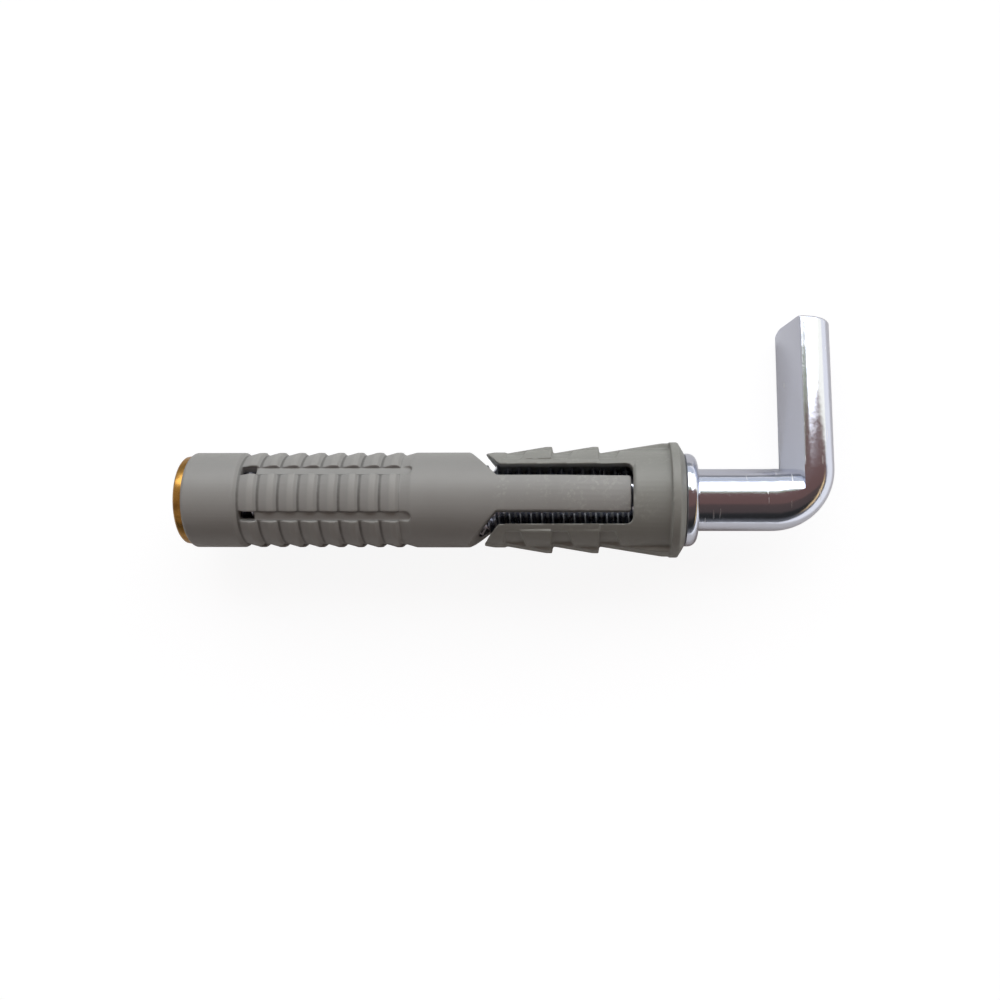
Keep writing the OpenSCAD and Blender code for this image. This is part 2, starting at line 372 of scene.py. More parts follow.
def new_material(name: str) -> tuple[bpy.types.Material, Tree]:
    """Starts an empty node material.

    Args:
        name: The finish's name.

    Returns:
        The material and its node tree.
    """
    material = bpy.data.materials.new(name)
    material.use_nodes = True
    material.node_tree.nodes.clear()
    return material, material.node_tree


def per_size(size_mm: float) -> float:
    """The scale at which a noise texture has features of about this size."""
    return 1 / (size_mm * MM)


@dataclass(frozen=True)
class MouldedNylon:
    """Injection-moulded polyamide in grey: a satin skin with faint clouds and pale scuffs, a painted
    highlight on its rib crests and painted shade in the corners between its ribs.
    """

    name: str
    colour: str
    cloud_colour: str
    scuff_colour: str
    roughness: float
    scuffed_from: float
    scuff_share: float
    ior: float = 1.53
    cloud_mm: float = 6.0
    patch_mm: float = 4.8
    scuff_mm: float = 0.55
    grain_mm: float = 0.12
    grain_depth: float = 0.01
    sink_depth: float = 0.06
    # The ribs' zone and radii, and the colours and shares of the painted highlight on their crests
    # and the painted shade in the corners between them
    ribs: tuple[float, float] = (0.0, 0.0)
    rib_radii: tuple[float, float] = (6.35, 6.8)
    crest_highlight_colour: str = "#b4b3ae"
    crest_highlight_share: float = 0.12
    corner_shade_colour: str = "#3a3836"
    corner_shade_share: float = 0.65

    def material(self) -> bpy.types.Material:
        """Builds the material.

        Returns:
            A satin plastic whose clouds, scuffs and grain are set in real millimetres.
        """
        material, tree = new_material(self.name)
        place = add_node(tree, "TexCoord").outputs["Object"]
        clouds = add_node(
            tree, "TexNoise", None, {"Vector": place, "Scale": per_size(self.cloud_mm), "Detail": 3}
        )
        specks = add_node(
            tree,
            "TexNoise",
            None,
            {"Vector": place, "Scale": per_size(self.scuff_mm), "Detail": 4, "Roughness": 0.6},
        )
        grain = add_node(
            tree, "TexNoise", None, {"Vector": place, "Scale": per_size(self.grain_mm), "Detail": 2}
        )
        gloss = add_node(
            tree,
            "MapRange",
            None,
            (specks, 0.3, 0.7, self.roughness - 0.05, self.roughness + 0.08),
        )
        fine = add_node(
            tree,
            "Bump",
            None,
            {"Strength": 0.35, "Distance": self.grain_depth * MM, "Height": grain},
        )
        sunk = add_node(
            tree,
            "Bump",
            None,
            {"Strength": 1.0, "Distance": self.sink_depth * MM, "Height": clouds, "Normal": fine},
        )
        shader = add_node(
            tree,
            "BsdfPrincipled",
            None,
            {
                "Base Color": self._wear_and_painted_light_colour(tree, place, clouds, specks),
                "Roughness": gloss,
                "IOR": self.ior,
                "Normal": sunk,
            },
        )
        add_node(tree, "OutputMaterial", None, {"Surface": shader})
        return material

    def _wear_and_painted_light_colour(self, tree: Tree, place: Socket, clouds: Node, specks: Node) -> Socket:
        """Lays the skin's tones, its wear, the painted highlight on the rib crests and the painted
        shade in the corners between the ribs over each other.

        Args:
            tree: The material's node tree.
            place: The place on the piece.
            clouds: The noise that the skin's tone follows.
            specks: The noise that breaks the scuffs up.

        Returns:
            The colour of the skin.
        """
        along, across, up = add_node(tree, "SeparateXYZ", None, [place]).outputs
        # Fitting leaves small pale scuffs, where one sleeve has slid along the other
        patches = add_node(
            tree, "TexNoise", None, {"Vector": place, "Scale": per_size(self.patch_mm), "Detail": 2}
        )
        scuffs = soft_mask(
            tree,
            (along, self.scuffed_from * MM, (self.scuffed_from + 2) * MM),
            (patches, 0.38, 0.62),
            (specks, 0.48, 0.68, self.scuff_share),
        )
        # The ribs' crests get a painted highlight, and the corners between them get painted shade
        start, end = self.ribs
        root, crest = self.rib_radii
        radius = distance(tree, across, up)
        ribbed = soft_mask(
            tree,
            (along, start * MM, (start + 0.3) * MM),
            (along, end * MM, (end - 0.3) * MM),
        )
        crests = soft_mask(tree, (radius, (crest - 0.08) * MM, (crest - 0.02) * MM, self.crest_highlight_share))
        corners = soft_mask(
            tree,
            (radius, (root - 0.06) * MM, (root - 0.02) * MM),
            (radius, (root + 0.12) * MM, (root + 0.03) * MM, self.corner_shade_share),
        )
        painted_crest_highlight = add_node(tree, "Math", {"operation": "MULTIPLY"}, (ribbed, crests))
        painted_corner_shade = add_node(tree, "Math", {"operation": "MULTIPLY"}, (ribbed, corners))
        # The skin's tone drifts a little where the melt cooled unevenly
        colour = linear(self.colour)
        # Over the tone go the scuffs, the painted crest highlight and the painted corner shade
        for share, tint in (
            (clouds, self.cloud_colour),
            (scuffs, self.scuff_colour),
            (painted_crest_highlight, self.crest_highlight_colour),
            (painted_corner_shade, self.corner_shade_colour),
        ):
            mix = add_node(
                tree, "Mix", {"data_type": "RGBA"}, {0: share, 6: colour, 7: linear(tint)}
            )
            colour = mix.outputs[2]
        return colour


@dataclass(frozen=True)
class BrightZinc:
    """Blue-passivated zinc on rolled steel: a mirror that wanders a little, with fine scratches."""

    name: str = "bright_zinc_plate"
    colour: str = "#d9ddea"
    scratch_colour: str = "#f0f1f2"
    roughness: float = 0.09
    scratch_roughness: float = 0.4
    ripple_mm: float = 2.2
    ripple_depth: float = 0.022
    line_mm: float = 0.22
    line_depth: float = 0.003
    scratch_mm: float = 0.3

    def material(self) -> bpy.types.Material:
        """Builds the material.

        Returns:
            A bright metal whose ripples and scratches are set in real millimetres.
        """
        material, tree = new_material(self.name)
        place = add_node(tree, "TexCoord").outputs["Object"]
        ripples = add_node(
            tree, "TexNoise", None, {"Vector": place, "Scale": per_size(self.ripple_mm), "Detail": 2}
        )
        lines = add_node(
            tree, "TexNoise", None, {"Vector": place, "Scale": per_size(self.line_mm), "Detail": 3}
        )
        # Scratches from a bag of hooks: short, narrow and slanted
        slant = add_node(
            tree,
            "Mapping",
            None,
            {"Vector": place, "Rotation": (0.4, 0.3, 0.9), "Scale": (1.0, 0.08, 0.08)},
        )
        scratches = add_node(
            tree,
            "TexNoise",
            None,
            {"Vector": slant, "Scale": per_size(self.scratch_mm), "Detail": 1},
        )
        marks = soft_mask(tree, (scratches, 0.71, 0.78))
        colour = add_node(
            tree,
            "Mix",
            {"data_type": "RGBA"},
            {0: marks, 6: linear(self.colour), 7: linear(self.scratch_colour)},
        )
        haze = add_node(
            tree, "MapRange", None, (lines, 0.3, 0.75, self.roughness, self.roughness + 0.1)
        )
        scored = add_node(tree, "Math", {"operation": "MINIMUM"}, (marks, self.scratch_roughness))
        gloss = add_node(tree, "Math", {"operation": "MAXIMUM"}, (haze, scored))
        wave = add_node(
            tree,
            "Bump",
            None,
            {"Strength": 1.0, "Distance": self.ripple_depth * MM, "Height": ripples},
        )
        rough = add_node(
            tree,
            "Bump",
            None,
            {"Strength": 0.5, "Distance": self.line_depth * MM, "Height": lines, "Normal": wave},
        )
        shader = add_node(
            tree,
            "BsdfPrincipled",
            None,
            {
                "Base Color": colour.outputs[2],
                "Metallic": 1.0,
                "Roughness": gloss,
                "Normal": rough,
            },
        )
        add_node(tree, "OutputMaterial", None, {"Surface": shader})
        return material


@dataclass(frozen=True)
class TurnedBrass:
    """Free-cutting brass as it comes off the lathe: fine rings and a dull tarnish between them."""

    name: str = "turned_brass"
    colour: str = "#b98c48"
    tarnish_colour: str = "#7a5426"
    roughness: float = 0.26
    ring_mm: float = 0.16
    ring_depth: float = 0.006
    tarnish_mm: float = 1.6

    def material(self) -> bpy.types.Material:
        """Builds the material.

        Returns:
            A yellow metal with tool rings about the X axis, set in real millimetres.
        """
        material, tree = new_material(self.name)
        place = add_node(tree, "TexCoord").outputs["Object"]
        # One ring of a wave texture is a twentieth of a full turn at scale 1
        ring_scale = 2 * math.pi / 20 / (self.ring_mm * MM)
        rings = add_node(
            tree,
            "TexWave",
            {"wave_type": "RINGS", "rings_direction": "X"},
            {"Vector": place, "Scale": ring_scale, "Distortion": 0.6, "Detail": 1},
        )
        stains = add_node(
            tree, "TexNoise", None, {"Vector": place, "Scale": per_size(self.tarnish_mm), "Detail": 4}
        )
        dull = soft_mask(tree, (stains, 0.42, 0.72, 0.75))
        colour = add_node(
            tree,
            "Mix",
            {"data_type": "RGBA"},
            {0: dull, 6: linear(self.colour), 7: linear(self.tarnish_colour)},
        )
        gloss = add_node(
            tree,
            "MapRange",
            None,
            {"Value": dull, "To Min": self.roughness, "To Max": self.roughness + 0.16},
        )
        tooled = add_node(
            tree,
            "Bump",
            None,
            {"Strength": 0.5, "Distance": self.ring_depth * MM, "Height": rings.outputs[1]},
        )
        shader = add_node(
            tree,
            "BsdfPrincipled",
            None,
            {
                "Base Color": colour.outputs[2],
                "Metallic": 1.0,
                "Roughness": gloss,
                "Normal": tooled,
            },
        )
        add_node(tree, "OutputMaterial", None, {"Surface": shader})
        return material


LOWER_NYLON = MouldedNylon(
    name="moulded_nylon_lower",
    colour="#929290",
    cloud_colour="#8b8b89",
    scuff_colour="#b4b4b0",
    roughness=0.46,
    scuffed_from=-25.0,
    scuff_share=0.5,
    # The ribs' zone, where the crests get a painted highlight and the corners painted shade
    ribs=(-60.7, -37.4),
)
UPPER_NYLON = MouldedNylon(
    name="moulded_nylon_upper",
    colour="#8b8c88",
    cloud_colour="#858681",
    scuff_colour="#a3a49e",
    roughness=0.44,
    scuffed_from=-30.0,
    scuff_share=0.3,
)


def hand_over(
    piece: Piece, body: Body, slot: Slot, finish: bpy.types.Material, *nodes: str
) -> None:
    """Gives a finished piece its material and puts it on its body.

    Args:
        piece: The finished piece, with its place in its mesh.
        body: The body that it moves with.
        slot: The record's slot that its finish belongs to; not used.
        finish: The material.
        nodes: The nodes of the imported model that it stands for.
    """
    piece.data.materials.clear()
    piece.data.materials.append(finish)
    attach(piece, body.value)
    if nodes:
        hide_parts(*nodes)
    LOG.info("%s: %d faces, on %s", piece.name, len(piece.data.polygons), body.value)


# Sleeves


@dataclass
class MouldedSleeve:
    """One of the two sleeves, with the small radii that a mould leaves on every edge."""

    name: str
    node: str
    body: Body
    slot: Slot
    finish: MouldedNylon
    grid: float = 0.13
    softening: int = 4
    sharp_deg: float = 60.0
    most_triangles: int = 180_000
    merge_distance: float = 0.002

    def build(self) -> Piece:
        """Builds and hands over the sleeve.

        Returns:
            The sleeve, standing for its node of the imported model.
        """
        piece = self._skin()
        self._round_edges(piece)
        hand_over(piece, self.body, self.slot, self.finish.material(), self.node)
        return piece

    def _skin(self) -> Piece:
        """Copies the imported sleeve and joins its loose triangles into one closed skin.

        Returns:
            The copy, as one closed mesh.
        """
        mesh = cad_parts[self.node].data.copy()
        piece = bpy.data.objects.new(self.name, mesh)
        bpy.context.scene.collection.objects.link(piece)
        with editing(piece, "VERT", everything=True):
            bpy.ops.mesh.remove_doubles(threshold=self.merge_distance * MM)
        return piece

    def _round_edges(self, piece: Piece) -> None:
        """Rounds every edge and corner by about the mould's radius, and shades the skin.

        Args:
            piece: The sleeve as one closed skin.
        """
        add_modifier(piece, "REMESH", mode="VOXEL", voxel_size=self.grid * MM)
        add_modifier(piece, "SMOOTH", factor=0.5, iterations=self.softening)
        triangles = 2 * len(piece.data.polygons)
        LOG.info("%s: %d triangles before thinning", piece.name, triangles)
        add_modifier(piece, "DECIMATE", ratio=min(1.0, self.most_triangles / triangles))
        smooth(piece, self.sharp_deg)


# Thread


@dataclass(frozen=True)
class MetricThread:
    """A right-hand ISO thread, 10 mm with a pitch of 1.5 mm."""

    major_r: float = 5.0
    pitch: float = 1.5
    flank_deg: float = 30.0
    depth_share: float = 0.54127
    root_play: float = 0.05
    sunk: float = 0.1
    steps: int = 48

    @property
    def minor_r(self) -> float:
        """Radius to the bottom of the external thread."""
        return self.major_r - self.depth_share * self.pitch - self.root_play

    @property
    def crest_w(self) -> float:
        """Width of the flat on top of the thread."""
        return self.pitch / 8

    def ridge(self, name: str, start_x: float, turns: int, play: float = 0.0) -> Piece:
        """Winds the thread's ridge as a helix about the X axis.

        Args:
            name: The piece's name.
            start_x: Where the ridge starts, in millimetres.
            turns: How many turns it makes.
            play: How much larger than the true thread it is all round, in millimetres.

        Returns:
            The ridge as one closed mesh, a little sunk into the core.
        """
        root_r = self.minor_r - self.sunk
        crest_r = self.major_r + play
        crest_w = self.crest_w + 2 * play
        root_w = crest_w + 2 * (crest_r - root_r) * math.tan(math.radians(self.flank_deg))
        deselect_all()
        bpy.ops.mesh.primitive_plane_add(
            size=1, location=(0, 0, 0), rotation=(math.pi / 2, 0, 0)
        )
        piece = place_in_mesh(bpy.context.object)
        piece.name = name
        with editing(piece, "VERT", everything=True):
            bpy.ops.transform.resize(
                value=(root_w * MM, 1, (crest_r - root_r) * MM), center_override=(0, 0, 0)
            )
            bpy.ops.transform.translate(value=(start_x * MM, 0, (crest_r + root_r) / 2 * MM))
            select_vertices(piece, lambda place: place.z > (crest_r + root_r) / 2 * MM)
            share = crest_w / root_w
            bpy.ops.transform.resize(value=(share, 1, 1), center_override=(start_x * MM, 0, 0))
        add_modifier(
            piece,
            "SCREW",
            axis="X",
            angle=2 * math.pi,
            screw_offset=self.pitch * MM,
            iterations=turns,
            steps=self.steps,
            render_steps=self.steps,
        )
        with editing(piece, "EDGE", everything=True):
            bpy.ops.mesh.remove_doubles(threshold=MICRON)
            bpy.ops.mesh.select_all(action="DESELECT")
            select_edges(piece, lambda edge: edge.is_boundary)
            bpy.ops.mesh.edge_face_add()
            bpy.ops.mesh.select_all(action="SELECT")
            bpy.ops.mesh.normals_make_consistent(inside=False)
        return piece


THREAD = MetricThread()


# Hook


@dataclass
class Hook:
    """Rolled rod with a pressed collar, bent to a right angle, with a pressed flat on its arm."""

    shank_r: float = 4.4
    lead: float = 0.75
    plain_end: float = 2.1
    collar_r: float = 6.6
    collar_t: float = 1.8
    collar_gap: float = 0.05
    collar_round: float = 1.3
    collar_chamfer: float = 0.15
    fillet: float = 0.15
    bend_r: float = 4.55
    arm_reach: float = 25.9
    flat_t: float = 6.1
    flat_turn_deg: float = 15.0
    press_skin: float = 0.03
    tip_round: float = 3.0
    rim_radius: float = 0.2
    tip_radius: float = 0.45
    tip_inset: float = 1.3
    rim_merge: float = 0.03
    rim_deg: float = 20.0
    rim_segments: int = 4
    sharp_deg: float = 32.0
    thread_sharp_deg: float = 25.0
    facets: int = 96
    bend_steps: int = 28

    @property
    def rod_x(self) -> float:
        """End of the rod inside the nut."""
        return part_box("hook")[0].x / MM

    @property
    def arm_x(self) -> float:
        """Middle of the arm, seen along it."""
        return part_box("hook")[1].x / MM - self.shank_r

    @property
    def collar_x(self) -> float:
        """Face of the collar that presses on the flange."""
        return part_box("upper_sleeve")[1].x / MM + self.collar_gap

    @property
    def thread_x(self) -> float:
        """Where the thread's helix starts, half a turn before the end of the rod."""
        return self.rod_x - 0.5 * THREAD.pitch

    @property
    def rest_roll(self) -> float:
        """Works out how far the plug rolls about its axis, until the arm lies on the floor.

        Returns:
            The roll in radians.
        """
        flange_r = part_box("upper_sleeve")[1].y / MM
        contact_y = self.arm_reach - self.tip_round
        contact_z = self.shank_r - self.tip_round
        reach = math.hypot(contact_y, contact_z)
        return math.asin((flange_r - self.tip_round) / reach) - math.atan(contact_z / contact_y)

    def build(self) -> None:
        """Builds and hands over the rod and the thread rolled on it."""
        zinc = BrightZinc().material()
        rod = self._rod()
        self._press_flat(rod)
        self._shear_tip(rod)
        self._soften(rod)
        self.lay_down(rod)
        hand_over(rod, Body.HOOK, Slot.ZINC, zinc, "hook")
        thread = self._thread()
        self.lay_down(thread)
        hand_over(thread, Body.HOOK, Slot.ZINC, zinc)

    def _outline(self) -> Outline:
        """Works out the rod from its threaded end to the start of the bend.

        Returns:
            The rod's rings as (x, radius), in millimetres.
        """
        core_r = THREAD.minor_r
        thread_end = -self.plain_end
        collar_end = self.collar_x + self.collar_t
        return [
            (self.rod_x, core_r - self.lead / 2),
            (self.rod_x + self.lead, core_r),
            (thread_end, core_r),
            (thread_end + self.lead, self.shank_r),
            (self.collar_x, self.shank_r),
            (self.collar_x, self.collar_r - self.collar_chamfer),
            (self.collar_x + self.collar_chamfer, self.collar_r),
            *arc(
                (collar_end - self.collar_round, self.collar_r - self.collar_round),
                self.collar_round,
                90,
                0,
            ),
            *arc((collar_end + self.fillet, self.shank_r + self.fillet), self.fillet, 180, 270),
            (self.arm_x - self.bend_r, self.shank_r),
        ]

    def _rod(self) -> Piece:
        """Turns the rod, bends its end and draws the arm.

        Returns:
            The bent rod, as one closed mesh.
        """
        rod = turned("hook_rod", self._outline(), self.facets)
        with editing(rod):
            self._select_end(rod)
            bpy.ops.mesh.spin(
                steps=self.bend_steps,
                angle=-math.pi / 2,
                center=((self.arm_x - self.bend_r) * MM, self.bend_r * MM, 0),
                axis=(0, 0, 1),
            )
            end_y, end_r = self.bend_r, self.shank_r
            for next_y, next_r in self._tip_rings():
                bpy.ops.mesh.extrude_region_move(
                    TRANSFORM_OT_translate={"value": (0, (next_y - end_y) * MM, 0)}
                )
                bpy.ops.transform.resize(
                    value=(next_r / end_r, 1, next_r / end_r),
                    center_override=(self.arm_x * MM, 0, 0),
                )
                end_y, end_r = next_y, next_r
            bpy.ops.mesh.select_all(action="SELECT")
            bpy.ops.mesh.remove_doubles(threshold=MICRON)
            bpy.ops.mesh.normals_make_consistent(inside=False)
        return rod

    def _tip_rings(self) -> Outline:
        """Works out the arm from the bend to its rounded tip.

        Returns:
            The arm's rings as (place along the arm, radius), in millimetres.
        """
        start_y = self.arm_reach - self.tip_radius
        rounded = arc((self.shank_r - self.tip_radius, start_y), self.tip_radius, 0, 90)
        rings = [(along, radius) for radius, along in rounded]
        # One ring on the end's flat keeps its face off the round
        return [*rings, (self.arm_reach, self.shank_r - self.tip_inset * self.tip_radius)]

    def _select_end(self, rod: Piece) -> None:
        """Selects the round face at the start of the bend."""
        end_x = (self.arm_x - self.bend_r) * MM
        select_faces(rod, lambda face: abs(face.calc_center_median().x - end_x) < HAIR)

    def _press_flat(self, rod: Piece) -> None:
        """Takes the pressed flat off the inner side of the arm, down to a skin over the shank.

        Args:
            rod: The bent rod.
        """
        depth = self.flat_t - self.shank_r
        width = 2 * self.shank_r
        length = self.arm_reach + 1
        turn = math.radians(self.flat_turn_deg)
        middle = -depth - width / 2
        deselect_all()
        bpy.ops.mesh.primitive_cube_add(size=1)
        tool = bpy.context.object
        tool.scale = (width * MM, length * MM, 2 * width * MM)
        tool.rotation_euler = (0, turn, 0)
        tool.location = (
            (self.arm_x + middle * math.cos(turn)) * MM,
            length / 2 * MM,
            -middle * math.sin(turn) * MM,
        )
        place_in_mesh(tool)
        shank_r = self.shank_r + self.press_skin
        shank = turned(
            "shank_left_alone",
            [(self.arm_x - 2 * width, shank_r), (self.arm_x + self.shank_r, shank_r)],
            self.facets,
        )
        cut(tool, shank)
        cut(rod, tool)

    def _shear_tip(self, rod: Piece) -> None:
        """Rounds the lower edge of the tip, as the shears leave it.

        Args:
            rod: The bent rod.
        """
        centre_y = self.arm_reach - self.tip_round
        centre_z = self.tip_round - self.shank_r
        size = 4 * self.shank_r
        deselect_all()
        bpy.ops.mesh.primitive_cylinder_add(
            vertices=self.facets,
            radius=self.tip_round * MM,
            depth=2 * size * MM,
            location=(self.arm_x * MM, centre_y * MM, centre_z * MM),
            rotation=(0, math.pi / 2, 0),
        )
        round_tool = place_in_mesh(bpy.context.object)
        deselect_all()
        bpy.ops.mesh.primitive_cube_add(
            size=size * MM,
            location=(self.arm_x * MM, (centre_y + size / 2) * MM, (centre_z - size / 2) * MM),
        )
        block = place_in_mesh(bpy.context.object)
        cut(block, round_tool)
        cut(rod, block)

    def _soften(self, rod: Piece) -> None:
        """Rounds the rims of the flat, as the press leaves them.

        Args:
            rod: The bent rod with its flat.
        """
        with editing(rod, "VERT"):
            # The rims run within a hair of two facet edges, and are merged with them
            select_vertices(rod, lambda place: place.y > self.bend_r * MM - HAIR)
            bpy.ops.mesh.remove_doubles(threshold=self.rim_merge * MM)
        with editing(rod, "EDGE"):
            found = select_edges(rod, self._is_rim)
            bpy.ops.transform.edge_bevelweight(value=1)
        LOG.info("hook: %d rims to round", found)
        add_modifier(
            rod,
            "BEVEL",
            width=self.rim_radius * MM,
            segments=self.rim_segments,
            limit_method="WEIGHT",
            use_clamp_overlap=False,
        )
        smooth(rod, self.sharp_deg)

    def _is_rim(self, edge: bmesh.types.BMEdge) -> bool:
        """Tells a rim of the flat from the other edges of the rod.

        Args:
            edge: The edge.

        Returns:
            Whether it is a sharp outer edge that lies beyond the bend and runs along the arm.
        """
        near, far = sorted(v.co.y for v in edge.verts)
        return (
            edge.is_manifold
            and edge.is_convex
            and near > self.bend_r * MM - HAIR
            and far - near > 0.9 * edge.calc_length()
            and edge.calc_face_angle(0) > math.radians(self.rim_deg)
        )

    def _thread(self) -> Piece:
        """Winds the rolled thread and chamfers it at the rod's end.

        Returns:
            The thread's ridge, as one closed mesh.
        """
        turns = round((-self.plain_end - self.thread_x) / THREAD.pitch)
        ridge = THREAD.ridge("hook_thread", self.thread_x, turns)
        far = THREAD.major_r + 1
        lead_x = THREAD.major_r - THREAD.minor_r + self.lead / 2
        # It starts a hair inside the rod's end, and its far end sinks the run-out below the core
        envelope = turned(
            "thread_envelope",
            [
                (self.rod_x + 0.01, THREAD.minor_r - self.lead / 2),
                (self.rod_x + lead_x, THREAD.major_r),
                (self.rod_x + lead_x, far),
                (-self.plain_end, far),
                (-self.plain_end + 1, THREAD.minor_r - 0.2),
            ],
            self.facets,
        )
        with editing(envelope, everything=True):
            bpy.ops.mesh.normals_make_consistent(inside=False)
        cut(ridge, envelope, "INTERSECT")
        smooth(ridge, self.thread_sharp_deg)
        return ridge

    def lay_down(self, piece: Piece) -> None:
        """Rolls a piece about the plug's axis, to where the plug comes to rest."""
        piece.rotation_euler = (-self.rest_roll, 0, 0)
        place_in_mesh(piece)


# Nut


@dataclass
class ConeNut:
    """Brass cone nut, tapped for the hook and pressed against the end of the lower sleeve."""

    hook: Hook
    seat_r: float = 6.0
    cone_l: float = 7.5
    nose_r: float = 5.4
    chamfer: float = 0.3
    chamfer_ease: float = 0.06
    play: float = 0.05
    mouth_play: float = 0.2
    sharp_deg: float = 25.0
    facets: int = 96

    def build(self) -> None:
        """Builds and hands over the nut."""
        nut = self._blank()
        self._tap(nut)
        self.hook.lay_down(nut)
        smooth(nut, self.sharp_deg)
        hand_over(nut, Body.LOWER, Slot.BRASS, TurnedBrass().material(), "cone_nut")

    def _blank(self) -> Piece:
        """Turns the head and the cone.

        Returns:
            The nut before it is drilled.
        """
        low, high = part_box("cone_nut")
        sleeve_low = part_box("lower_sleeve")[0]
        head_x = low.x / MM
        seat_x = sleeve_low.x / MM
        head_r = (high.y - low.y) / 2 / MM
        return turned(
            "cone_nut_turned",
            [
                (head_x, head_r - 2 * self.chamfer),
                (head_x + self.chamfer_ease, head_r - self.chamfer),
                (head_x + self.chamfer, head_r - self.chamfer_ease),
                (head_x + 2 * self.chamfer, head_r),
                (seat_x, head_r),
                (seat_x, self.seat_r),
                (seat_x + self.cone_l, self.nose_r),
            ],
            self.facets,
        )

    def _tap(self, nut: Piece) -> None:
        """Drills and countersinks the nut, and cuts its thread in step with the hook's.

        Args:
            nut: The blank.
        """
        low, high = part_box("cone_nut")
        head_x, end_x = low.x / MM, high.x / MM
        bore_r = THREAD.minor_r + self.play
        mouth_r = THREAD.major_r + self.mouth_play
        drill = turned(
            "nut_drill",
            [
                (head_x - 1, mouth_r + 1),
                (head_x + mouth_r - bore_r, bore_r),
                (end_x + 1, bore_r),
            ],
            self.facets,
        )
        cut(nut, drill)
        start_x = self.hook.thread_x - THREAD.pitch
        turns = math.ceil((end_x - start_x) / THREAD.pitch) + 1
        cut(nut, THREAD.ridge("nut_tap", start_x, turns, self.play))


# Studio


@dataclass
class PhotoCamera:
    """The camera, high over the plug and nearer to its hook than to its nut, as in the photo."""

    place: tuple[float, float, float] = (-11.79, 0.0, 150.1)
    turn_deg: float = 2.06
    lens: float = 37.83
    shift: float = -0.048

    def build(self) -> None:
        """Adds the camera and makes it the scene's own."""
        data = bpy.data.cameras.new("photo_camera")
        data.lens = self.lens
        data.shift_x = self.shift
        data.clip_start = 0.01
        camera = bpy.data.objects.new("photo_camera", data)
        camera.location = Vector(self.place) * MM
        camera.rotation_euler = (0, math.radians(self.turn_deg), 0)
        bpy.context.scene.collection.objects.link(camera)
        bpy.context.scene.camera = camera


